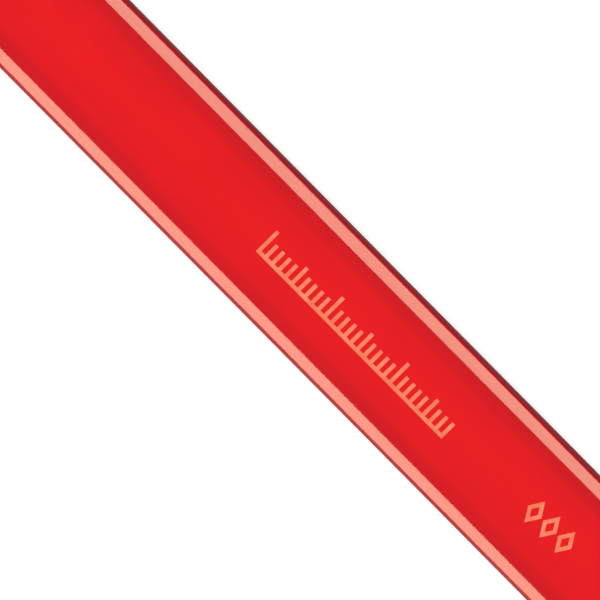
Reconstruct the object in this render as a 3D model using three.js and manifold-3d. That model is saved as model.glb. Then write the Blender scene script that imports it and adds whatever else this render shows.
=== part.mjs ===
// A flat carpenter pencil with a knife-cut chisel point.
//
// Two grooved wooden slats are glued round a flat lead, milled to a flattened octagon, lacquered, and
// stamped with metal foil on one broad face. One end is whittled to a chisel point; the other is sawn square.
//
// Units are millimetres. +X runs along the pencil towards the point, +Z up through the stamped face, and
// the origin is on the face that the pencil lies on, under its middle.

import * as THREE from "three";
import { mergeVertices } from "three/addons/utils/BufferGeometryUtils.js";
import Module from "manifold-3d";

const wasm = await Module();
wasm.setup();

// Barrel: a flattened octagon, lacquer included.
const LENGTH = 175;
const WIDTH = 15;
const THICKNESS = 7.2;
const BEVEL_RUN = 1.9; // each corner bevel, measured across the broad face
const BEVEL_DROP = 1.55; // and measured down the narrow side
const FACE_EDGE_EASE = 0.45; // how far from its corner a softened edge starts, on the broad face
const SIDE_EDGE_EASE = 0.7; // and on the narrow side
const CORNER_STEPS = 4;

// What the barrel is made of.
const COAT = 0.2; // all the coats of lacquer together
const GLUE = 0.06;
const LEAD_WIDTH = 5.2;
const LEAD_THICKNESS = 2.2;

// Point: the knife lays the lead bare, and the lead is then rubbed to a chisel edge.
const BARE_LEAD = 10;
const WOOD_SKIN = 0.08; // wood left on the lead where each cut runs out
const EDGE_THICKNESS = 0.45;
const EDGE_WIDTH = 4.3;
const CHISEL_LENGTH = 6;
const CHISEL_SIDE_LENGTH = 8;
// Each knife cut: which way it faces, in degrees round the pencil from +Y towards +Z, and its length.
const KNIFE_CUTS = [
  [90, 23.5],
  [61, 20.5],
  [121, 21.5],
  [33, 22.5],
  [148, 21],
  [3, 19.5],
  [177, 20.5],
  [-29, 21.5],
  [-150, 22.5],
  [-62, 21],
  [-119, 20],
  [-89, 24],
];

// Foil, hot-stamped into the lacquer of the top face. The marks read from the point towards the butt.
const FOIL = 0.03;
const FOIL_SUNK = 0.02; // the foil's face lies this far under the lacquer's
const MARK_HEIGHT = 3.2;
const SCALE_LENGTH = 28;
const SCALE_MIDDLE = -9.3; // along X
const TICK_PITCH = 1;
const TICK_WIDTH = 0.44;
const RAIL_WIDTH = 0.44;
const FIVE_TICK_HEIGHT = 2.7;
const TICK_HEIGHT = 2.1;
const LOZENGE_COUNT = 3;
const LOZENGE_WIDTH = 2;
const LOZENGE_PITCH = 2.3;
const LOZENGE_LINE = 0.44;
const LOZENGE_MIDDLE = -38.5; // along X

const LACQUER = new THREE.MeshStandardMaterial({ color: 0xea2128, roughness: 0.18 });
const WOOD = new THREE.MeshStandardMaterial({ color: 0xd9b184, roughness: 0.75 });
const GRAPHITE = new THREE.MeshStandardMaterial({ color: 0x3a3b3e, roughness: 0.45, metalness: 0.3 });
const DRIED_GLUE = new THREE.MeshStandardMaterial({ color: 0xcdb488, roughness: 0.5 });
const GOLD_FOIL = new THREE.MeshStandardMaterial({ color: 0xffa070, roughness: 0.4, metalness: 0.8 });

// ---- Sections, drawn across the pencil with Y to the right and Z up, about the pencil's middle ----

// The octagon's corners in its upper half, from the right side over the top to the left side.
// Insetting every face alike moves each corner along the line that halves it.
function upperCorners(inset) {
  const slope = Math.atan2(BEVEL_DROP, BEVEL_RUN);
  const side = WIDTH / 2 - inset;
  const top = THICKNESS / 2 - inset;
  const faceEdge = WIDTH / 2 - BEVEL_RUN - inset * Math.tan(slope / 2);
  const sideEdge = THICKNESS / 2 - BEVEL_DROP - inset * Math.tan(Math.PI / 4 - slope / 2);
  return [
    { y: side, z: sideEdge, ease: SIDE_EDGE_EASE },
    { y: faceEdge, z: top, ease: FACE_EDGE_EASE },
    { y: -faceEdge, z: top, ease: FACE_EDGE_EASE },
    { y: -side, z: sideEdge, ease: SIDE_EDGE_EASE },
  ];
}

function turnedOver(corners) {
  return corners.map(({ y, z, ease }) => ({ y: -y, z: -z, ease }));
}

// Draws a closed outline through the corners on a Shape or Path, rounding those that have an ease.
function draw(outline, corners) {
  corners.forEach((corner, i) => {
    const here = new THREE.Vector2(corner.y, corner.z);
    const before = corners.at(i - 1);
    const after = corners[(i + 1) % corners.length];
    const towards = (other) =>
      new THREE.Vector2(other.y, other.z).sub(here).setLength(corner.ease ?? 0).add(here);
    const start = towards(before);
    if (i === 0) outline.moveTo(start.x, start.y);
    else outline.lineTo(start.x, start.y);
    if (corner.ease) {
      const end = towards(after);
      outline.quadraticCurveTo(here.x, here.y, end.x, end.y);
    }
  });
  outline.closePath();
  return outline;
}

function rectangle(halfWidth, halfHeight) {
  return [
    { y: -halfWidth, z: -halfHeight },
    { y: halfWidth, z: -halfHeight },
    { y: halfWidth, z: halfHeight },
    { y: -halfWidth, z: halfHeight },
  ];
}

function barrelCorners(inset) {
  return [...upperCorners(inset), ...turnedOver(upperCorners(inset))];
}

function coatSection() {
  const section = draw(new THREE.Shape(), barrelCorners(0));
  section.holes.push(draw(new THREE.Path(), barrelCorners(COAT)));
  return section;
}

// Half of the wood, with half of the lead's groove in the face that is glued.
const GROOVE_HALF_WIDTH = LEAD_WIDTH / 2 + GLUE;
const GROOVE_DEPTH = LEAD_THICKNESS / 2 + GLUE;
const WOOD_SIDE = WIDTH / 2 - COAT;

function slatCorners() {
  return [
    { y: WOOD_SIDE, z: GLUE / 2 },
    ...upperCorners(COAT),
    { y: -WOOD_SIDE, z: GLUE / 2 },
    { y: -GROOVE_HALF_WIDTH, z: GLUE / 2 },
    { y: -GROOVE_HALF_WIDTH, z: GROOVE_DEPTH },
    { y: GROOVE_HALF_WIDTH, z: GROOVE_DEPTH },
    { y: GROOVE_HALF_WIDTH, z: GLUE / 2 },
  ];
}

// The glue fills the joint between the slats and lines the groove round the lead.
function glueSection() {
  const upper = [
    { y: WOOD_SIDE, z: GLUE / 2 },
    { y: GROOVE_HALF_WIDTH, z: GLUE / 2 },
    { y: GROOVE_HALF_WIDTH, z: GROOVE_DEPTH },
    { y: -GROOVE_HALF_WIDTH, z: GROOVE_DEPTH },
    { y: -GROOVE_HALF_WIDTH, z: GLUE / 2 },
    { y: -WOOD_SIDE, z: GLUE / 2 },
  ];
  const section = draw(new THREE.Shape(), [...upper, ...turnedOver(upper)]);
  section.holes.push(draw(new THREE.Path(), rectangle(LEAD_WIDTH / 2, LEAD_THICKNESS / 2)));
  return section;
}

// ---- Solids ----

function toSolid(geometry) {
  const bare = geometry.clone();
  bare.deleteAttribute("normal");
  bare.deleteAttribute("uv");
  const merged = mergeVertices(bare);
  return new wasm.Manifold(
    new wasm.Mesh({
      numProp: 3,
      vertProperties: new Float32Array(merged.attributes.position.array),
      triVerts: new Uint32Array(merged.index.array),
    }),
  );
}

function toGeometry(solid) {
  const { vertProperties, triVerts } = solid.getMesh();
  const geometry = new THREE.BufferGeometry();
  geometry.setAttribute("position", new THREE.BufferAttribute(vertProperties, 3));
  geometry.setIndex(new THREE.BufferAttribute(triVerts, 1));
  const faceted = geometry.toNonIndexed();
  faceted.computeVertexNormals();
  return faceted;
}

// A stick of the given section, as long as the pencil and lying along X.
function stick(section) {
  const geometry = new THREE.ExtrudeGeometry(section, {
    depth: LENGTH,
    bevelEnabled: false,
    curveSegments: CORNER_STEPS,
  });
  const across = new THREE.Vector3(0, 1, 0);
  const up = new THREE.Vector3(0, 0, 1);
  const along = new THREE.Vector3(1, 0, 0);
  geometry.applyMatrix4(new THREE.Matrix4().makeBasis(across, up, along));
  geometry.translate(-LENGTH / 2, 0, 0);
  return toSolid(geometry);
}

// How far a box or an outline of corners reaches from the middle, in one direction across the pencil.
function reach(corners, facing) {
  return Math.max(...corners.map(({ y, z }) => y * Math.cos(facing) + z * Math.sin(facing)));
}

// A block whose lower face lies on the cut: `outer` from the middle at xOuter, `inner` from it at xInner.
function cuttingBlock(facing, xOuter, outer, xInner, inner) {
  const SIZE = 120;
  const tilt = Math.atan2(outer - inner, xInner - xOuter);
  const normal = new THREE.Vector3(
    Math.sin(tilt),
    Math.cos(tilt) * Math.cos(facing),
    Math.cos(tilt) * Math.sin(facing),
  );
  const foot = new THREE.Vector3(xInner, inner * Math.cos(facing), inner * Math.sin(facing));
  const block = new THREE.BoxGeometry(SIZE, SIZE, SIZE);
  block.translate(0, 0, SIZE / 2);
  block.applyQuaternion(new THREE.Quaternion().setFromUnitVectors(new THREE.Vector3(0, 0, 1), normal));
  block.translate(foot.x, foot.y, foot.z);
  return toSolid(block);
}

const TIP = LENGTH / 2;
const WOOD_END = TIP - BARE_LEAD;
const LEAD_CORNERS = rectangle(LEAD_WIDTH / 2, LEAD_THICKNESS / 2);

// Takes the wood, glue and lacquer off the point, one knife cut after another.
function whittled(solid) {
  return KNIFE_CUTS.reduce((left, [degrees, length]) => {
    const facing = THREE.MathUtils.degToRad(degrees);
    const outer = reach(barrelCorners(0), facing);
    const inner = reach(LEAD_CORNERS, facing) + WOOD_SKIN;
    return left.subtract(cuttingBlock(facing, WOOD_END - length, outer, WOOD_END, inner));
  }, solid);
}

// Rubs the bare lead to a chisel edge: flat above and below, and drawn in a little at its sides.
function chiselled(solid) {
  const faces = [
    [Math.PI / 2, CHISEL_LENGTH, LEAD_THICKNESS / 2, EDGE_THICKNESS / 2],
    [-Math.PI / 2, CHISEL_LENGTH, LEAD_THICKNESS / 2, EDGE_THICKNESS / 2],
    [0, CHISEL_SIDE_LENGTH, LEAD_WIDTH / 2, EDGE_WIDTH / 2],
    [Math.PI, CHISEL_SIDE_LENGTH, LEAD_WIDTH / 2, EDGE_WIDTH / 2],
  ];
  return faces.reduce(
    (left, [facing, length, outer, inner]) =>
      left.subtract(cuttingBlock(facing, TIP - length, outer, TIP, inner)),
    solid,
  );
}

// ---- Foil marks, drawn as they read: from left to right, with up the page ----

// A rule in millimetres: a rail along the foot, with a tick standing on it at every millimetre.
function scaleOutline() {
  const foot = -MARK_HEIGHT / 2;
  const left = -(SCALE_LENGTH + TICK_WIDTH) / 2;
  const outline = new THREE.Shape();
  outline.moveTo(left, foot);
  outline.lineTo(-left, foot);
  for (let tick = SCALE_LENGTH / TICK_PITCH; tick >= 0; tick--) {
    const height = tick % 10 === 0 ? MARK_HEIGHT : tick % 5 === 0 ? FIVE_TICK_HEIGHT : TICK_HEIGHT;
    const tickLeft = left + tick * TICK_PITCH;
    const tickRight = tickLeft + TICK_WIDTH;
    if (tick < SCALE_LENGTH / TICK_PITCH) outline.lineTo(tickRight, foot + RAIL_WIDTH);
    outline.lineTo(tickRight, foot + height);
    outline.lineTo(tickLeft, foot + height);
    if (tick > 0) outline.lineTo(tickLeft, foot + RAIL_WIDTH);
  }
  outline.closePath();
  return outline;
}

function lozengeOutline() {
  const halfWidth = LOZENGE_WIDTH / 2;
  const halfHeight = MARK_HEIGHT / 2;
  const inward = 1 - LOZENGE_LINE / (halfWidth * Math.sin(Math.atan2(halfHeight, halfWidth)));
  const points = [
    [-halfWidth, 0],
    [0, -halfHeight],
    [halfWidth, 0],
    [0, halfHeight],
  ];
  const outline = new THREE.Shape(points.map(([x, y]) => new THREE.Vector2(x, y)));
  outline.holes.push(new THREE.Path(points.map(([x, y]) => new THREE.Vector2(x * inward, y * inward))));
  return outline;
}

// A mark of the given thickness with its top at height `top` above the pencil's middle, turned so that
// it reads towards the butt.
function stamp(outline, middle, thickness, top) {
  const geometry = new THREE.ExtrudeGeometry(outline, { depth: thickness, bevelEnabled: false });
  geometry.rotateZ(Math.PI);
  geometry.translate(middle, 0, top - thickness);
  return toSolid(geometry);
}

const MARKS = [{ name: "foil_scale", outline: scaleOutline(), middle: SCALE_MIDDLE }];
for (let i = 0; i < LOZENGE_COUNT; i++) {
  MARKS.push({
    name: `foil_lozenge_${i + 1}`,
    outline: lozengeOutline(),
    middle: LOZENGE_MIDDLE - (i - (LOZENGE_COUNT - 1) / 2) * LOZENGE_PITCH,
  });
}

// ---- The pencil ----

// The lacquer is whittled with the wood, and pressed down under each foil mark.
function coat() {
  return MARKS.reduce(
    (left, { outline, middle }) => left.subtract(stamp(outline, middle, FOIL + FOIL_SUNK, THICKNESS / 2)),
    whittled(stick(coatSection())),
  );
}

const pencil = new THREE.Group();
const barrel = new THREE.Group();
barrel.position.z = THICKNESS / 2;
pencil.add(barrel);

function add(name, solid, material) {
  const mesh = new THREE.Mesh(toGeometry(solid), material);
  mesh.name = name;
  barrel.add(mesh);
}

add("lacquer_coat", coat(), LACQUER);
add("upper_slat", whittled(stick(draw(new THREE.Shape(), slatCorners()))), WOOD);
add("lower_slat", whittled(stick(draw(new THREE.Shape(), turnedOver(slatCorners())))), WOOD);
add("glue_film", whittled(stick(glueSection())), DRIED_GLUE);
add("lead", chiselled(stick(draw(new THREE.Shape(), LEAD_CORNERS))), GRAPHITE);
for (const { name, outline, middle } of MARKS) {
  add(name, stamp(outline, middle, FOIL, THICKNESS / 2 - FOIL_SUNK), GOLD_FOIL);
}

export default pencil;
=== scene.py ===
import math

import bmesh
import bpy
from mathutils import Matrix, Vector, noise


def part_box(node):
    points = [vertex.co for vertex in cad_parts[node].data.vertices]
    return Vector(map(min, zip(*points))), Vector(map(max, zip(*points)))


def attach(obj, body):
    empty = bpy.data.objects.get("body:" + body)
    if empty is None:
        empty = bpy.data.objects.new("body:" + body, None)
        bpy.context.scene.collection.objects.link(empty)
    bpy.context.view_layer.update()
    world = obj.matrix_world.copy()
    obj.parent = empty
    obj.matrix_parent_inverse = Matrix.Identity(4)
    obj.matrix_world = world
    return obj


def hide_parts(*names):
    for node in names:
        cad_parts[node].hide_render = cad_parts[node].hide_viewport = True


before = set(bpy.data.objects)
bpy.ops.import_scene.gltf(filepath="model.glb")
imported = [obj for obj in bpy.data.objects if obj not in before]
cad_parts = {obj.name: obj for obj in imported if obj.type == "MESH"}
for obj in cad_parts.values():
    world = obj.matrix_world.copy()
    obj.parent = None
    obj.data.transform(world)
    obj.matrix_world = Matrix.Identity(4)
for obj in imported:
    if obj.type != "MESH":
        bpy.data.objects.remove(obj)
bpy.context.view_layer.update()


# ---- Upper and lower slat ----------------------------------------------------------------------------
# Two slats of straight-grained cedar, each with half of the lead's groove ploughed in it, glued face to
# face and milled together to a flattened octagon. They were cut from different boards, so their grain
# doesn't match. The point is whittled with a knife, and the butt is sawn.

MM = 0.001

barrel_low, barrel_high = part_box("lacquer_coat")
lead_low, lead_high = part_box("lead")
BUTT = barrel_low.x
TIP = lead_high.x
HALF_WIDTH = barrel_high.y
HALF_THICKNESS = (barrel_high.z - barrel_low.z) / 2
MIDDLE = Vector((0, 0, barrel_low.z + HALF_THICKNESS))
COAT = barrel_high.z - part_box("upper_slat")[1].z
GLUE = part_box("upper_slat")[0].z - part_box("lower_slat")[1].z
HALF_LEAD_WIDTH = (lead_high.y - lead_low.y) / 2
HALF_LEAD_THICKNESS = (lead_high.z - lead_low.z) / 2

BEVEL_RUN = 1.9 * MM  # each corner bevel, measured across the broad face
BEVEL_DROP = 1.55 * MM  # and measured down the narrow side
FACE_EDGE_EASE = 0.45 * MM  # how far from its corner a softened edge starts, on the broad face
SIDE_EDGE_EASE = 0.7 * MM  # and on the narrow side

BARE_LEAD = 10 * MM
WOOD_SKIN = 0.08 * MM  # wood left on the lead where each cut runs out
WOOD_END = TIP - BARE_LEAD
# Each knife cut: which way it faces, in degrees round the pencil from +Y towards +Z, and its length in mm.
KNIFE_CUTS = [
    (90, 23.5),
    (61, 20.5),
    (121, 21.5),
    (33, 22.5),
    (148, 21),
    (3, 19.5),
    (177, 20.5),
    (-29, 21.5),
    (-150, 22.5),
    (-62, 21),
    (-119, 20),
    (-89, 24),
]


def octagon_corners(inset):
    """Corners of the barrel's section, that far under the lacquer's face, and how far each is eased."""
    slope = math.atan2(BEVEL_DROP, BEVEL_RUN)
    side = HALF_WIDTH - inset
    top = HALF_THICKNESS - inset
    face_edge = HALF_WIDTH - BEVEL_RUN - inset * math.tan(slope / 2)
    side_edge = HALF_THICKNESS - BEVEL_DROP - inset * math.tan(math.pi / 4 - slope / 2)
    upper = [
        (side, side_edge, SIDE_EDGE_EASE),
        (face_edge, top, FACE_EDGE_EASE),
        (-face_edge, top, FACE_EDGE_EASE),
        (-side, side_edge, SIDE_EDGE_EASE),
    ]
    return upper + turned_over(upper)


def turned_over(corners):
    """The same corners half a turn round the pencil."""
    return [(-y, -z, ease) for y, z, ease in corners]


def lead_corners(ease):
    """Corners of the lead's section, and how far each is eased."""
    y = HALF_LEAD_WIDTH
    z = HALF_LEAD_THICKNESS
    return [(y, -z, ease), (y, z, ease), (-y, z, ease), (-y, -z, ease)]


def eased(corners, steps=10):
    """The outline through the corners, each one rounded from `ease` before it to `ease` after it."""
    outline = []
    for i, (y, z, ease) in enumerate(corners):
        here = Vector((y, z))
        if not ease:
            outline.append(here)
            continue
        before = here + (Vector(corners[i - 1][:2]) - here).normalized() * ease
        after = here + (Vector(corners[(i + 1) % len(corners)][:2]) - here).normalized() * ease
        for step in range(steps + 1):
            t = step / steps
            outline.append(before * (1 - t) ** 2 + here * 2 * t * (1 - t) + after * t**2)
    return outline


def piece_from(bm, name):
    """The finished mesh as an object of that name."""
    mesh = bpy.data.meshes.new(name)
    bm.to_mesh(mesh)
    bm.free()
    piece = bpy.data.objects.new(name, mesh)
    bpy.context.collection.objects.link(piece)
    return piece


def solid(name, rings):
    """A closed body through rings of points that follow each other, with flat ends."""
    bm = bmesh.new()
    made = [[bm.verts.new(point) for point in ring] for ring in rings]
    for ring, following in zip(made, made[1:]):
        for i in range(len(ring)):
            bm.faces.new((ring[i - 1], ring[i], following[i], following[i - 1]))
    bm.faces.new(reversed(made[0]))
    bm.faces.new(made[-1])
    bmesh.ops.recalc_face_normals(bm, faces=bm.faces)
    return piece_from(bm, name)


def stick(name, outline, start=BUTT, end=TIP):
    """A body of that section, drawn across the pencil about its middle, running along the pencil."""
    return solid(name, [[MIDDLE + Vector((x, y, z)) for y, z in outline] for x in (start, end)])


def carve(piece, tools):
    """Cuts the tools out of the piece, one after another, and clears them away."""
    for tool in tools:
        cut = piece.modifiers.new("cut", "BOOLEAN")
        cut.operation = "DIFFERENCE"
        cut.solver = "MANIFOLD"
        cut.object = tool
    graph = bpy.context.evaluated_depsgraph_get()
    carved = bpy.data.meshes.new_from_object(piece.evaluated_get(graph))
    piece.modifiers.clear()
    piece.data = carved
    for tool in tools:
        bpy.data.objects.remove(tool)


def spaced(start, end, size):
    """Places from start up to end, but without it, about `size` apart."""
    count = max(1, round((end - start) / size))
    return [start + (end - start) * i / count for i in range(count)]


def patchy(x, v, length, breadth, seed):
    """Noise over a facet, x along it and v across it, in patches of that length and breadth."""
    return noise.noise(Vector((x / length, v / breadth, seed)))


def rim(sheet):
    """The points round the border of a sheet of rows, each once."""
    going_out = [row[-1] for row in sheet[:-1]]
    coming_back = [row[0] for row in sheet[:0:-1]]
    return sheet[0][:-1] + going_out + sheet[-1][:0:-1] + coming_back


def knife_cut(degrees, length, seed, ragged=0.0):
    """What one stroke of the knife takes off: all that lies outside a long facet that is a little hollow."""
    HOLLOW = 0.10 * MM
    CHATTER = 0.006 * MM
    CHATTER_PITCH = 1.3 * MM
    CHATTER_SLANT = 0.25
    UNEVEN = 0.03 * MM
    HALF_BREADTH = 13 * MM
    HEIGHT = 30 * MM
    LEAD_IN = 4 * MM  # how far before the barrel's face the facet begins, in the air
    RUN_OUT = 3 * MM  # and how far past the tip it ends
    STEP = 0.5 * MM  # between its points along the pencil
    BROAD_STEP = 1 * MM  # and across it
    FINE_STEP = 0.12 * MM  # both ways where the lacquer's edge is ragged, within these bounds
    FINE_BEFORE = 1.5 * MM
    FINE_AFTER = 4 * MM
    FINE_ASIDE = 7.6 * MM
    facing = math.radians(degrees)
    outward = Vector((0, math.cos(facing), math.sin(facing)))
    across = Vector((0, -math.sin(facing), math.cos(facing)))

    def reach(corners):
        return max(y * outward.y + z * outward.z for y, z, _ in corners)

    outer = reach(octagon_corners(0))
    inner = reach(lead_corners(0)) + WOOD_SKIN
    first = WOOD_END - length * MM
    last = TIP + RUN_OUT
    lacquer_start = first - FINE_BEFORE
    lacquer_end = first + FINE_AFTER
    fine_x = FINE_STEP if ragged else STEP
    fine_v = FINE_STEP if ragged else BROAD_STEP
    xs = [
        *spaced(first - LEAD_IN, lacquer_start, STEP),
        *spaced(lacquer_start, lacquer_end, fine_x),
        *spaced(lacquer_end, last, STEP),
        last,
    ]
    vs = [
        *spaced(-HALF_BREADTH, -FINE_ASIDE, BROAD_STEP),
        *spaced(-FINE_ASIDE, FINE_ASIDE, fine_v),
        *spaced(FINE_ASIDE, HALF_BREADTH, BROAD_STEP),
        HALF_BREADTH,
    ]

    def facet(x, v):
        done = (x - first) / (WOOD_END - first)
        depth = HOLLOW * math.sin(math.pi * min(max(done, 0), 1))
        depth += CHATTER * math.sin(math.tau * (x + CHATTER_SLANT * v) / CHATTER_PITCH)
        depth += UNEVEN * patchy(x, v, 4 * MM, 9 * MM, seed)
        depth += ragged * patchy(x, v, 1.1 * MM, 0.22 * MM, seed + 0.5)
        depth += ragged * patchy(x, v, 3 * MM, 0.9 * MM, seed + 0.7)
        return MIDDLE + Vector((x, 0, 0)) + outward * (outer + (inner - outer) * done - depth) + across * v

    bm = bmesh.new()
    lower = [[bm.verts.new(facet(x, v)) for v in vs] for x in xs]
    lift = outward * HEIGHT
    upper = [[bm.verts.new(MIDDLE + Vector((x, 0, 0)) + across * v + lift) for v in vs] for x in xs]
    for i in range(len(xs) - 1):
        for j in range(len(vs) - 1):
            for sheet in (lower, upper):
                bm.faces.new((sheet[i][j], sheet[i + 1][j], sheet[i + 1][j + 1], sheet[i][j + 1]))
    rim_low, rim_high = (rim(sheet) for sheet in (lower, upper))
    for i in range(len(rim_low)):
        bm.faces.new((rim_low[i - 1], rim_low[i], rim_high[i], rim_high[i - 1]))
    bmesh.ops.recalc_face_normals(bm, faces=bm.faces)
    return piece_from(bm, "knife_cut")


def whittle(piece, ragged=0.0):
    """Cuts the piece's end to the point. `ragged` is how far a brittle edge breaks out of line."""
    carve(piece, [knife_cut(*cut, seed, ragged) for seed, cut in enumerate(KNIFE_CUTS)])


def finish_surface(piece, material, crease=18):
    """Smooth within each face of the piece, with an edge wherever it turns by more than `crease` degrees."""
    piece.data.materials.clear()
    piece.data.materials.append(material)
    piece.data.shade_smooth()
    piece.data.set_sharp_from_angle(angle=math.radians(crease))
    even = piece.modifiers.new("even shading", "WEIGHTED_NORMAL")
    even.keep_sharp = True
    even.weight = 100


def add(tree, kind, settings=None, **sockets):
    """A node with its settings, and its named or numbered sockets each given a value or another's output."""
    node = tree.nodes.new(kind)
    for name, value in (settings or {}).items():
        setattr(node, name, value)
    for name, value in sockets.items():
        socket = node.inputs[int(name[1:])] if name[0] == "_" else node.inputs[name.replace("_", " ")]
        if isinstance(value, bpy.types.NodeSocket):
            tree.links.new(value, socket)
        else:
            socket.default_value = value
    return node


def maths(tree, operation, *values):
    sockets = {f"_{i}": value for i, value in enumerate(values)}
    return add(tree, "ShaderNodeMath", {"operation": operation}, **sockets).outputs[0]


def vectors(tree, operation, first, second):
    return add(tree, "ShaderNodeVectorMath", {"operation": operation}, _0=first, _1=second).outputs[0]


def part_of(tree, vector, axis):
    """The vector's X, Y or Z."""
    return add(tree, "ShaderNodeSeparateXYZ", _0=vector).outputs[axis]


def grain(tree, place, stretch, detail=2.0, roughness=0.5):
    """Noise, with `stretch` features to the millimetre along X, Y and Z."""
    squeezed = vectors(tree, "MULTIPLY", place, stretch)
    speckle = add(tree, "ShaderNodeTexNoise", Vector=squeezed, Scale=1.0, Detail=detail, Roughness=roughness)
    return speckle.outputs["Fac"]


def ramp(tree, value, low, high, to_low=0.0, to_high=1.0):
    """value's range low to high, eased onto the range to_low to to_high."""
    smooth = {"interpolation_type": "SMOOTHSTEP"}
    mapped = add(tree, "ShaderNodeMapRange", smooth, _0=value, _1=low, _2=high, _3=to_low, _4=to_high)
    return mapped.outputs[0]


def blend(tree, amount, first, second, mode="MIX"):
    """Two colours mixed, or the first multiplied by the second, by that amount."""
    colours = {"data_type": "RGBA", "blend_type": mode}
    return add(tree, "ShaderNodeMix", colours, _0=amount, _6=first, _7=second).outputs[2]


def mottle(tree, colour, texture, darkest, lightest):
    """The colour, darker where the texture is low and lighter where it is high."""
    return blend(tree, 1.0, colour, ramp(tree, texture, 0.3, 0.7, darkest, lightest), "MULTIPLY")


def raise_surface(tree, shader, relief, strength, height):
    """Lets the relief stand up from the surface, by at most about that height."""
    bump = add(tree, "ShaderNodeBump", Height=relief, Strength=strength, Distance=height)
    tree.links.new(bump.outputs["Normal"], shader.inputs["Normal"])


def new_material(name):
    """An empty material, its nodes and shader, and the place on the piece in millimetres."""
    material = bpy.data.materials.new(name)
    material.use_nodes = True
    tree = material.node_tree
    metres = add(tree, "ShaderNodeTexCoord").outputs["Object"]
    place = vectors(tree, "MULTIPLY", metres, (1 / MM, 1 / MM, 1 / MM))
    return material, tree, tree.nodes["Principled BSDF"], place


def dusted(tree, place, colour):
    """The colour, with graphite dust rubbed into it over the last few millimetres before the bare lead."""
    DUST = (0.075, 0.072, 0.07, 1)
    MOST = 0.85
    DUST_START = WOOD_END / MM - 3.2
    DUST_FULL = WOOD_END / MM - 0.2
    near = ramp(tree, part_of(tree, place, "X"), DUST_START, DUST_FULL)
    smear = ramp(tree, grain(tree, place, (0.35, 1.6, 1.6), detail=3), 0.25, 0.6, 0.25, 1.0)
    amount = maths(tree, "MULTIPLY", maths(tree, "MULTIPLY", near, smear), MOST)
    return blend(tree, amount, colour, DUST)


EARLY_WOOD = (0.70, 0.42, 0.225, 1)
LATE_WOOD = (0.49, 0.245, 0.11, 1)


def growth_rings(tree, place, spot, fibre, ring_width, lean):
    """Where in its ring the wood lies, from 0 to 1, and the colour that the ring gives it there.

    Each ring is pale early wood that darkens slowly to a thin band of late wood, stronger in some years.
    """
    MID_WOOD = (0.65, 0.37, 0.185, 1)
    FAINT_YEAR = (0.665, 0.385, 0.20, 1)
    WANDER = 3.0
    FIBRE_WANDER = 0.16
    spoke = add(tree, "ShaderNodeVectorMath", {"operation": "LENGTH"}, _0=spot).outputs["Value"]
    wander = grain(tree, place, (0.012, 0.08, 0.08), detail=2)
    radius = maths(tree, "MULTIPLY_ADD", wander, WANDER, spoke)
    radius = maths(tree, "MULTIPLY_ADD", part_of(tree, place, "X"), lean, radius)
    radius = maths(tree, "MULTIPLY_ADD", fibre, FIBRE_WANDER, radius)
    years = maths(tree, "DIVIDE", radius, ring_width)
    ring = maths(tree, "FRACT", years)
    year = add(tree, "ShaderNodeValToRGB", _0=ring)
    stops = year.color_ramp.elements
    stops[0].position, stops[0].color = 0.0, EARLY_WOOD
    stops[1].position, stops[1].color = 1.0, EARLY_WOOD
    for position, colour in ((0.5, MID_WOOD), (0.86, LATE_WOOD), (0.92, LATE_WOOD)):
        stops.new(position).color = colour
    chance = add(tree, "ShaderNodeTexWhiteNoise", {"noise_dimensions": "1D"}, _1=maths(tree, "FLOOR", years))
    faintness = ramp(tree, chance.outputs["Value"], 0.0, 1.0, 0.75, 0.05)
    return ring, blend(tree, faintness, year.outputs["Color"], FAINT_YEAR)


def end_grain(tree, spot, colour, pores):
    """The colour as the saw shows it across the fibres: darker, with fine pores and rays."""
    PORE = (0.33, 0.15, 0.065, 1)
    SHADE = (0.90, 0.82, 0.76, 1)
    RAYS_TO_A_RADIAN = 150.0
    RAY_WIDTH = 0.06
    cut_ends = blend(tree, ramp(tree, pores, 0.5, 0.66, 0.0, 0.7), colour, PORE)
    bearing = maths(tree, "ARCTAN2", part_of(tree, spot, "Z"), part_of(tree, spot, "Y"))
    turn = maths(tree, "FRACT", maths(tree, "MULTIPLY", bearing, RAYS_TO_A_RADIAN))
    off_ray = maths(tree, "ABSOLUTE", maths(tree, "SUBTRACT", turn, 0.5))
    ray = ramp(tree, off_ray, RAY_WIDTH, 0.0)
    cut_ends = blend(tree, maths(tree, "MULTIPLY", ray, 0.22), cut_ends, EARLY_WOOD)
    return blend(tree, 1.0, cut_ends, SHADE, "MULTIPLY")


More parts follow.
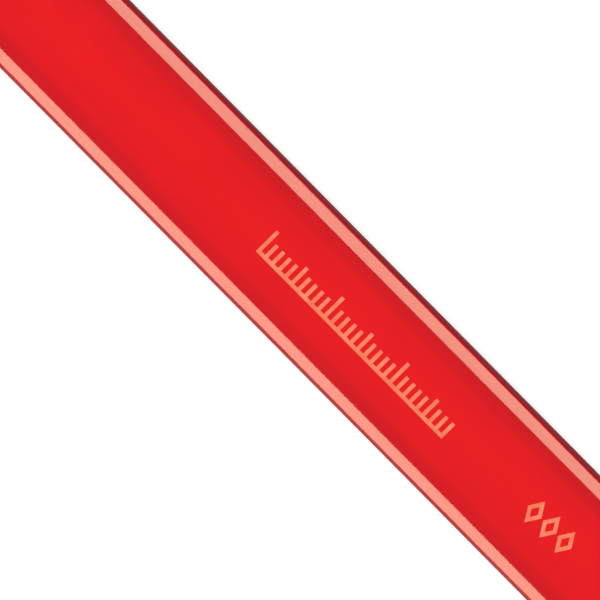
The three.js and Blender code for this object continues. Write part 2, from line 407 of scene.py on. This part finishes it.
def cedar(name, pith, ring_width, lean):
    """Cedar whose rings run round `pith`, in mm from the pencil's middle, and lean towards its face."""
    RESIN = (0.50, 0.24, 0.10, 1)
    SAW_DEPTH = 0.03
    material, tree, shader, place = new_material(name)
    spot = vectors(tree, "MULTIPLY", vectors(tree, "SUBTRACT", place, (0, *pith)), (0, 1, 1))
    fibre = grain(tree, place, (0.10, 6.0, 6.0), detail=3, roughness=0.6)
    ring, colour = growth_rings(tree, place, spot, fibre, ring_width, lean)

    # Fibres, patches of resin, and short dark flecks along the grain.
    colour = mottle(tree, colour, fibre, 0.86, 1.09)
    colour = mottle(tree, colour, grain(tree, place, (0.02, 0.22, 0.22), detail=2), 0.9, 1.07)
    patch = ramp(tree, grain(tree, place, (0.03, 0.5, 0.5), detail=1), 0.6, 0.78, 0.0, 0.35)
    colour = blend(tree, patch, colour, RESIN)
    fleck = ramp(tree, grain(tree, place, (0.35, 11.0, 11.0), detail=1), 0.64, 0.74, 0.0, 0.4)
    colour = blend(tree, fleck, colour, LATE_WOOD)

    # The sawn butt.
    sawn = maths(tree, "LESS_THAN", part_of(tree, place, "X"), BUTT / MM + SAW_DEPTH)
    pores = grain(tree, place, (0.0, 16.0, 16.0), detail=2, roughness=0.6)
    colour = blend(tree, sawn, colour, end_grain(tree, spot, colour, pores))
    tree.links.new(dusted(tree, place, colour), shader.inputs["Base Color"])

    # The knife leaves a slight polish on the wood, and the saw leaves its strokes across the butt.
    shader.inputs["IOR"].default_value = 1.4
    slick = ramp(tree, fibre, 0.3, 0.7, 0.46, 0.6)
    tree.links.new(maths(tree, "MULTIPLY_ADD", sawn, 0.25, slick), shader.inputs["Roughness"])
    stroke = grain(tree, place, (0.0, 0.35, 8.0), detail=2)
    saw_marks = maths(tree, "MULTIPLY_ADD", pores, -0.6, stroke)
    relief = maths(tree, "MULTIPLY_ADD", ring, -0.3, fibre)
    relief = maths(tree, "MULTIPLY_ADD", sawn, saw_marks, relief)
    raise_surface(tree, shader, relief, 0.4, 0.015 * MM)
    return material


GROOVE_HALF_WIDTH = HALF_LEAD_WIDTH + GLUE
GROOVE_DEPTH = HALF_LEAD_THICKNESS + GLUE


def slat_corners():
    """The upper slat's section: half of the octagon, less half of the groove."""
    upper_half = octagon_corners(COAT)[:4]
    side = HALF_WIDTH - COAT
    return [
        (side, GLUE / 2, 0),
        *upper_half,
        (-side, GLUE / 2, 0),
        (-GROOVE_HALF_WIDTH, GLUE / 2, 0),
        (-GROOVE_HALF_WIDTH, GROOVE_DEPTH, 0),
        (GROOVE_HALF_WIDTH, GROOVE_DEPTH, 0),
        (GROOVE_HALF_WIDTH, GLUE / 2, 0),
    ]


upper_board = cedar("cedar, upper board", pith=(31, -46), ring_width=1.25, lean=0.012)
lower_board = cedar("cedar, lower board", pith=(-52, 33), ring_width=1.6, lean=-0.009)
for name, corners, timber in (
    ("upper_slat", slat_corners(), upper_board),
    ("lower_slat", turned_over(slat_corners()), lower_board),
):
    slat = stick(f"{name}_wood", eased(corners))
    whittle(slat)
    finish_surface(slat, timber)
    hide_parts(name)
    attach(slat, "root")


# ---- Lead --------------------------------------------------------------------------------------------
# A flat stick of baked graphite and clay, laid in the groove before the slats are glued. The knife has
# laid its end bare, and rubbing it flat on both sides has brought it to a chisel edge.

EDGE_THICKNESS = 0.45 * MM
EDGE_WIDTH = 4.3 * MM
CHISEL_LENGTH = 6 * MM
CHISEL_SIDE_LENGTH = 8 * MM
CHISEL_STEPS = 16
LEAD_EDGE_EASE = 0.12 * MM


def evenly(start, end, count):
    """Places in `count` equal steps from start to end, with both of them."""
    return [start + (end - start) * i / count for i in range(count + 1)]


def lead_ring(x):
    """The lead's section at x: a rectangle with eased corners, which the chisel faces draw in."""
    flat = max(0, (x - (TIP - CHISEL_LENGTH)) / CHISEL_LENGTH)
    narrow = max(0, (x - (TIP - CHISEL_SIDE_LENGTH)) / CHISEL_SIDE_LENGTH)
    half_thickness = HALF_LEAD_THICKNESS + (EDGE_THICKNESS / 2 - HALF_LEAD_THICKNESS) * flat
    half_width = HALF_LEAD_WIDTH + (EDGE_WIDTH / 2 - HALF_LEAD_WIDTH) * narrow
    drawn_y = half_width / HALF_LEAD_WIDTH
    drawn_z = half_thickness / HALF_LEAD_THICKNESS
    corners = [(y * drawn_y, z * drawn_z, ease) for y, z, ease in lead_corners(LEAD_EDGE_EASE)]
    return [MIDDLE + Vector((x, y, z)) for y, z in eased(corners, steps=4)]


def graphite():
    """Dark grey with a dull shine, streaked along its length and rubbed here and there, with fine pits."""
    DARK = (0.034, 0.035, 0.039, 1)
    RUBBED = (0.050, 0.052, 0.058, 1)
    material, tree, shader, place = new_material("graphite")
    streak = grain(tree, place, (0.12, 8.0, 8.0), detail=2)
    cloud = grain(tree, place, (0.5, 0.9, 0.9), detail=2)
    pit = ramp(tree, grain(tree, place, (7.0, 7.0, 7.0), detail=1), 0.68, 0.8)
    tree.links.new(blend(tree, ramp(tree, streak, 0.3, 0.7), DARK, RUBBED), shader.inputs["Base Color"])
    shader.inputs["Metallic"].default_value = 0.45
    shader.inputs["IOR"].default_value = 1.8
    rubbed = maths(tree, "MULTIPLY_ADD", streak, 0.12, ramp(tree, cloud, 0.3, 0.7, 0.26, 0.36))
    tree.links.new(maths(tree, "MULTIPLY_ADD", pit, 0.2, rubbed), shader.inputs["Roughness"])
    relief = maths(tree, "MULTIPLY_ADD", pit, -0.5, streak)
    raise_surface(tree, shader, relief, 0.25, 0.01 * MM)
    return material


chisel_places = evenly(TIP - CHISEL_SIDE_LENGTH, TIP, CHISEL_STEPS)
lead = solid("lead_stick", [lead_ring(x) for x in (BUTT, WOOD_END, *chisel_places)])
finish_surface(lead, graphite(), crease=8)
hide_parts("lead")
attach(lead, "root")


# ---- Glue --------------------------------------------------------------------------------------------
# Wood glue, squeezed thin between the slats and round the lead. It shows as a fine line along both sides
# of the whittled point and across the sawn butt.


def glue_outline():
    """The glue's section without the lead: the joint between the slats, wide in the middle as the groove."""
    upper = [
        (HALF_WIDTH - COAT, GLUE / 2, 0),
        (GROOVE_HALF_WIDTH, GLUE / 2, 0),
        (GROOVE_HALF_WIDTH, GROOVE_DEPTH, 0),
        (-GROOVE_HALF_WIDTH, GROOVE_DEPTH, 0),
        (-GROOVE_HALF_WIDTH, GLUE / 2, 0),
        (COAT - HALF_WIDTH, GLUE / 2, 0),
    ]
    return eased(upper + turned_over(upper))


def dried_glue():
    """Amber glue, darker and duller where it has clotted, and dirty with graphite near the bare lead."""
    THIN = (0.40, 0.22, 0.095, 1)
    CLOTTED = (0.30, 0.155, 0.06, 1)
    material, tree, shader, place = new_material("dried glue")
    clot = grain(tree, place, (0.5, 3.0, 3.0), detail=2)
    amber = blend(tree, ramp(tree, clot, 0.3, 0.7), THIN, CLOTTED)
    tree.links.new(dusted(tree, place, amber), shader.inputs["Base Color"])
    tree.links.new(ramp(tree, clot, 0.3, 0.7, 0.4, 0.55), shader.inputs["Roughness"])
    raise_surface(tree, shader, clot, 0.4, 0.02 * MM)
    return material


glue = stick("glue_line", glue_outline())
carve(glue, [stick("lead's bed", eased(lead_corners(0)), BUTT - MM, TIP + MM)])
whittle(glue)
finish_surface(glue, dried_glue())
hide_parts("glue_film")
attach(glue, "root")


# ---- Foil marks --------------------------------------------------------------------------------------
# A millimetre rule and three lozenges in gold foil, pressed into the lacquer with a hot stamp, so that
# they lie a little under its face. Here and there the foil hasn't taken.

scale_low, scale_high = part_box("foil_scale")
FOIL = scale_high.z - scale_low.z
FOIL_TOP = scale_high.z
MARK_HEIGHT = scale_high.y - scale_low.y
TICK_PITCH = 1 * MM
LINE = 0.44 * MM  # the width of every line in the marks
FIVE_TICK_HEIGHT = 2.7 * MM
TICK_HEIGHT = 2.1 * MM


def tick_height(tick):
    if tick % 10 == 0:
        return MARK_HEIGHT
    return FIVE_TICK_HEIGHT if tick % 5 == 0 else TICK_HEIGHT


def scale_corners():
    """The rule's outline as it reads, left to right: a rail with a tick standing on it every millimetre."""
    foot = -MARK_HEIGHT / 2
    left = -(scale_high.x - scale_low.x) / 2
    last = round((scale_high.x - scale_low.x - LINE) / TICK_PITCH)
    corners = [(left, foot), (-left, foot)]
    for tick in range(last, -1, -1):
        start = left + tick * TICK_PITCH
        top = foot + tick_height(tick)
        if tick < last:
            corners.append((start + LINE, foot + LINE))
        corners += [(start + LINE, top), (start, top)]
        if tick > 0:
            corners.append((start, foot + LINE))
    return corners


def lozenge_corners(node, inward=1.0):
    """The lozenge's outline, or with a smaller `inward`, its opening's."""
    low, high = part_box(node)
    half_width = (high.x - low.x) / 2 * inward
    half_height = (high.y - low.y) / 2 * inward
    return [(-half_width, 0), (0, -half_height), (half_width, 0), (0, half_height)]


def stamp(name, node, corners, bottom, top, ease=0.05 * MM):
    """A body with that outline over the node's place, turned to read from the point towards the butt."""
    low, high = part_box(node)
    middle = (low + high) / 2
    outline = eased([(x, y, ease) for x, y in corners], steps=3)
    return solid(name, [[(middle.x - x, middle.y - y, z) for x, y in outline] for z in (bottom, top)])


def mark(name, node, bottom, top):
    """The foil mark of that node, from bottom to top."""
    if node == "foil_scale":
        return stamp(name, node, scale_corners(), bottom, top)
    low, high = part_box(node)
    angle = math.atan2(high.y - low.y, high.x - low.x)
    inward = 1 - LINE / ((high.x - low.x) / 2 * math.sin(angle))
    ring = stamp(name, node, lozenge_corners(node), bottom, top)
    carve(ring, [stamp("middle", node, lozenge_corners(node, inward), bottom - MM, top + MM)])
    return ring


LACQUER_RED = (0.755, 0.0035, 0.008, 1)


def gold_foil():
    """Thin coppery gold over the red, a little crinkled, with red spots where it hasn't taken."""
    GOLD = (1.0, 0.225, 0.11, 1)
    PALE = (1.0, 0.275, 0.145, 1)
    METALLIC = 0.55
    material, tree, shader, place = new_material("gold foil")
    cloud = grain(tree, place, (0.9, 0.9, 0.9), detail=2)
    skip = ramp(tree, grain(tree, place, (3.5, 3.5, 3.5), detail=3, roughness=0.65), 0.66, 0.70)
    foil = blend(tree, ramp(tree, cloud, 0.3, 0.7), GOLD, PALE)
    tree.links.new(blend(tree, skip, foil, LACQUER_RED), shader.inputs["Base Color"])
    tree.links.new(maths(tree, "MULTIPLY_ADD", skip, -METALLIC, METALLIC), shader.inputs["Metallic"])
    tree.links.new(ramp(tree, cloud, 0.3, 0.7, 0.36, 0.48), shader.inputs["Roughness"])
    crinkle = grain(tree, place, (2.5, 2.5, 2.5), detail=3)
    relief = maths(tree, "MULTIPLY_ADD", skip, -0.6, crinkle)
    raise_surface(tree, shader, relief, 0.35, 0.02 * MM)
    return material


FOIL_NODES = ("foil_scale", "foil_lozenge_1", "foil_lozenge_2", "foil_lozenge_3")
foil_finish = gold_foil()
for node in FOIL_NODES:
    foil = mark(f"{node}_stamped", node, FOIL_TOP - FOIL, FOIL_TOP)
    finish_surface(foil, foil_finish)
    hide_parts(node)
    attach(foil, "root")


# ---- Lacquer -----------------------------------------------------------------------------------------
# Several coats of glossy red lacquer, run on along the milled barrel. They round its corners. Painted
# shade darkens their red a little towards the broad face's edges and much more on the narrow sides. The
# knife leaves their edge ragged, paler and dull, and the saw has broken a few flakes out of it at the butt.

RIPPLE = 0.004 * MM
RIPPLE_LENGTH = 14 * MM
RIPPLE_BREADTH = 3 * MM
BARREL_STEPS = 120


def lacquered_ring(x):
    """The lacquer's outer face at x, rippled very slightly, never outside the barrel's box."""
    ring = []
    for y, z in eased(octagon_corners(0)):
        swell = noise.noise(Vector((x / RIPPLE_LENGTH, y / RIPPLE_BREADTH, z / RIPPLE_BREADTH)))
        drawn_in = 1 - RIPPLE * (1 + swell) / HALF_THICKNESS
        ring.append(MIDDLE + Vector((x, y * drawn_in, z * drawn_in)))
    return ring


def red_lacquer():
    """Glossy red, with painted shade deepest on the narrow sides, rippled by the grain under it, and dull
    where it was cut.
    """
    FACE_PAINTED_SHADE = (0.71, 0.0033, 0.008, 1)
    EDGE_PAINTED_SHADE = (0.60, 0.0030, 0.008, 1)
    SIDE_PAINTED_SHADE = (0.40, 0.0030, 0.012, 1)
    CUT = (0.74, 0.028, 0.020, 1)
    CUT_SLOPE = 0.045  # the knife's and the saw's faces slope more than this along the pencil
    material, tree, shader, place = new_material("red lacquer")
    # Painted shade: the red is darkened a little towards the broad face's edges and much more on the narrow
    # sides.
    edge = maths(tree, "ABSOLUTE", part_of(tree, place, "Y"))
    colour = blend(tree, ramp(tree, edge, 0.3, 3.6), LACQUER_RED, FACE_PAINTED_SHADE)
    colour = blend(tree, ramp(tree, edge, 3.6, 5.4), colour, EDGE_PAINTED_SHADE)
    colour = blend(tree, ramp(tree, edge, 6.9, 7.4), colour, SIDE_PAINTED_SHADE)
    colour = mottle(tree, colour, grain(tree, place, (0.10, 0.25, 0.25), detail=2), 0.975, 1.02)
    slope = part_of(tree, add(tree, "ShaderNodeNewGeometry").outputs["True Normal"], "X")
    cut = maths(tree, "GREATER_THAN", maths(tree, "ABSOLUTE", slope), CUT_SLOPE)
    tree.links.new(blend(tree, cut, colour, CUT), shader.inputs["Base Color"])
    shader.inputs["IOR"].default_value = 1.5
    rub = ramp(tree, grain(tree, place, (0.12, 5.0, 5.0), detail=3), 0.55, 0.75, 0.13, 0.20)
    tree.links.new(maths(tree, "MULTIPLY_ADD", cut, 0.35, rub), shader.inputs["Roughness"])

    # The wood's grain shows through as long ripples, with a little orange peel and a few nibs of dust.
    peel = grain(tree, place, (0.9, 1.3, 1.3), detail=2)
    long_grain = grain(tree, place, (0.06, 2.2, 2.2), detail=2)
    nib = ramp(tree, grain(tree, place, (2.2, 2.2, 2.2), detail=0), 0.76, 0.86)
    relief = maths(tree, "MULTIPLY_ADD", long_grain, 0.6, peel)
    relief = maths(tree, "MULTIPLY_ADD", nib, 0.8, relief)
    raise_surface(tree, shader, relief, 0.2, 0.03 * MM)
    return material


# Flakes broken out of the coat at the butt: Y and Z from the middle, depth and half width, in mm.
CHIPS = [
    (5.5, 3.6, 0.42, 0.30),
    (4.7, 3.6, 0.20, 0.45),
    (-2.2, 3.6, 0.24, 0.34),
    (-6.1, 3.2, 0.34, 0.26),
    (-7.4, 2.1, 0.22, 0.22),
    (7.5, 0.5, 0.26, 0.40),
    (7.1, 2.2, 0.18, 0.24),
    (6.6, -2.8, 0.45, 0.32),
    (0.9, -3.6, 0.22, 0.50),
    (-4.4, -3.6, 0.30, 0.30),
    (-7.5, -1.3, 0.36, 0.28),
]


def flake(seed, y, z, depth, width):
    """A rough lump with its middle on the butt's rim, to break out of the coat."""
    ROUGHNESS = 0.45
    BUMPS = 1.4
    APART = 5.3  # how far apart in the noise the lumps' shapes are taken
    bm = bmesh.new()
    bmesh.ops.create_icosphere(bm, subdivisions=3, radius=1)
    for vert in bm.verts:
        rough = 1 + ROUGHNESS * noise.noise(vert.co * BUMPS + Vector((seed * APART, 0, 0)))
        spread = Vector((vert.co.x * depth, vert.co.y * width, vert.co.z * width))
        vert.co = MIDDLE + Vector((BUTT, y * MM, z * MM)) + spread * rough * MM
    return piece_from(bm, "flake")


lacquer = solid("red_lacquer_coat", [lacquered_ring(x) for x in evenly(BUTT, TIP, BARREL_STEPS)])
carve(lacquer, [stick("milled barrel", eased(octagon_corners(COAT)), BUTT - MM, TIP + MM)])
whittle(lacquer, ragged=0.03 * MM)
carve(lacquer, [flake(seed, *chip) for seed, chip in enumerate(CHIPS)])
CLEARANCE = 0.004 * MM  # between each foil mark and the bed pressed for it
carve(lacquer, [mark("stamp", node, FOIL_TOP - FOIL - CLEARANCE, barrel_high.z + MM) for node in FOIL_NODES])
finish_surface(lacquer, red_lacquer(), crease=14)
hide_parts("lacquer_coat")
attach(lacquer, "root")


# ---- Floor, light and camera ---------------------------------------------------------------------------
# The pencil lies on a white sheet with its stamped face up. Two tall soft boxes stand beyond its ends,
# and two low ones beside it, whose light its bevels catch. The camera looks down on it from far off. The
# sheet looks bright, but lights the pencil, and shows in its reflections, as a darker copy of itself:
# painted shade, and on the pencil's right painted shadow with painted red bounce, so that the narrow
# sides stay dark.

FLOOR_REACH = 60.0


def white_sheet():
    """Bright where it is looked at; to the pencil a darker copy, painted shade, reddish on its right as
    painted shadow with painted red bounce.
    """
    RIGHT_PAINTED_SHADOW_AND_RED_BOUNCE = (0.17, 0.12, 0.14, 1)
    LEFT_PAINTED_SHADE = (0.5, 0.5, 0.5, 1)
    TURNS_WITHIN = 0.01  # metres on either side of the pencil's middle
    material = bpy.data.materials.new("white sheet")
    material.use_nodes = True
    tree = material.node_tree
    lit = tree.nodes["Principled BSDF"]
    lit.inputs["Base Color"].default_value = (0.93, 0.93, 0.925, 1)
    lit.inputs["Roughness"].default_value = 0.9
    lit.inputs["Specular IOR Level"].default_value = 0.0
    lit.inputs["Emission Color"].default_value = (1, 1, 1, 1)
    lit.inputs["Emission Strength"].default_value = 0.4
    side = part_of(tree, add(tree, "ShaderNodeTexCoord").outputs["Object"], "Y")
    # The darker copy is painted shade, and on the pencil's right painted shadow with painted red bounce.
    grey = blend(tree, ramp(tree, side, -TURNS_WITHIN, TURNS_WITHIN), RIGHT_PAINTED_SHADOW_AND_RED_BOUNCE, LEFT_PAINTED_SHADE)
    dull = add(tree, "ShaderNodeBsdfDiffuse", Color=grey)
    seen = add(tree, "ShaderNodeLightPath").outputs["Is Camera Ray"]
    sheet = add(tree, "ShaderNodeMixShader", _0=seen, _1=dull.outputs[0], _2=lit.outputs[0])
    tree.links.new(sheet.outputs[0], tree.nodes["Material Output"].inputs["Surface"])
    return material


floor_mesh = bpy.data.meshes.new("floor")
floor_corners = [(FLOOR_REACH * x, FLOOR_REACH * y, 0) for x, y in ((-1, -1), (1, -1), (1, 1), (-1, 1))]
floor_mesh.from_pydata(floor_corners, [], [(0, 1, 2, 3)])
floor_mesh.materials.append(white_sheet())
floor = bpy.data.objects.new("floor", floor_mesh)
bpy.context.collection.objects.link(floor)

LAMP_DISTANCE = 40.0


def soft_box(name, bearing, elevation, width, height, radiance, colour=(1, 1, 1)):
    """A lamp seen from the pencil at that bearing from +X and elevation, with its size, all in degrees."""
    lamp = bpy.data.lights.new(name, "AREA")
    lamp.shape = "RECTANGLE"
    lamp.size = 2 * LAMP_DISTANCE * math.tan(math.radians(width) / 2)
    lamp.size_y = 2 * LAMP_DISTANCE * math.tan(math.radians(height) / 2)
    lamp.energy = radiance * math.pi * lamp.size * lamp.size_y
    lamp.color = colour
    box = bpy.data.objects.new(name, lamp)
    rise = math.radians(elevation)
    turn = math.radians(bearing)
    away = Vector((math.cos(turn) * math.cos(rise), math.sin(turn) * math.cos(rise), math.sin(rise)))
    box.location = away * LAMP_DISTANCE
    box.rotation_mode = "QUATERNION"
    box.rotation_quaternion = away.to_track_quat("Z", "Y")
    box.visible_camera = False
    bpy.context.collection.objects.link(box)


soft_box("box past the point", 0, 50, 50, 44, 2.6)
soft_box("box past the butt", 180, 50, 50, 44, 2.6)
WARM = (1.0, 0.86, 0.64)
soft_box("low box on the right", -90, 13.2, 20, 14.6, 7.8, WARM)
soft_box("low box on the left", 90, 10.3, 20, 19.4, 7.8, WARM)

ROOM_LOW = 0.06  # how bright the room is at the height of the floor
ROOM_HIGH = 0.27  # and overhead
ROOM_RISE = 0.4

room = bpy.data.worlds.new("pale room")
room.use_nodes = True
walls = room.node_tree
height = part_of(walls, add(walls, "ShaderNodeTexCoord").outputs["Generated"], "Z")
shade = ramp(walls, height, 0.0, ROOM_RISE, ROOM_LOW, ROOM_HIGH)
walls.links.new(shade, walls.nodes["Background"].inputs["Color"])
bpy.context.scene.world = room
bpy.context.scene.view_settings.view_transform = "Standard"

LENS = 500.0
SENSOR = 36.0
FIELD = 64.9 * MM  # how wide a stretch the camera sees at the pencil's middle
PENCIL_SLOPE = math.radians(45.3)  # how steeply the pencil falls to the right, with its point on the left
ROLL = math.radians(4.2)  # how far the camera leans towards the pencil's right side
AIM = MIDDLE + Vector((-2.18 * MM, 2.18 * MM, 0))

camera_data = bpy.data.cameras.new("camera")
camera_data.lens = LENS
camera_data.sensor_width = SENSOR
camera = bpy.data.objects.new("camera", camera_data)
bpy.context.collection.objects.link(camera)
back = Vector((0, -math.sin(ROLL), math.cos(ROLL)))
along_pencil = Vector((1, 0, 0))
beside_pencil = back.cross(along_pencil)
right = -along_pencil * math.cos(PENCIL_SLOPE) - beside_pencil * math.sin(PENCIL_SLOPE)
up = along_pencil * math.sin(PENCIL_SLOPE) - beside_pencil * math.cos(PENCIL_SLOPE)
distance = FIELD * LENS / SENSOR
turn = Matrix((right, up, back)).transposed().to_4x4()
camera.matrix_world = Matrix.Translation(AIM + back * distance) @ turn
camera_data.clip_start = 0.05
camera_data.clip_end = 10.0
bpy.context.scene.camera = camera
